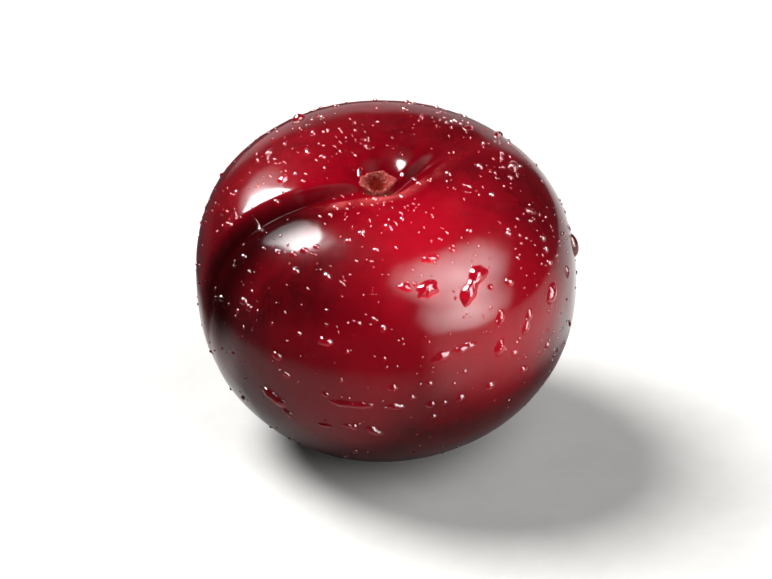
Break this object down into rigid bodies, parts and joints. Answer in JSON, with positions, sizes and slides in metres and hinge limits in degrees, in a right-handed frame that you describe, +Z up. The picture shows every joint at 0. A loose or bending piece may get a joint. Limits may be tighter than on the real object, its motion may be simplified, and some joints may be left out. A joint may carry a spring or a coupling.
{
  "type": "plum",
  "caption": "Whole ripe red plum, round with a deep seam and a small stalk pit, resting on a flat spot.",
  "frame": {"origin": "point on the resting surface under the middle of the fruit's bounding box", "axes": "+Z up; the stalk end is up and leans 12 degrees towards -Y; the deep seam runs down the side that faces -X"},
  "size_m": [0.0578, 0.0566, 0.0497],
  "materials": {
    "plum_skin": "smooth, waxy, semi-gloss",
    "water": "clear, wet"
  },
  "bodies": {
    "root": {"plum": "plum_skin"}
  },
  "joints": []
}
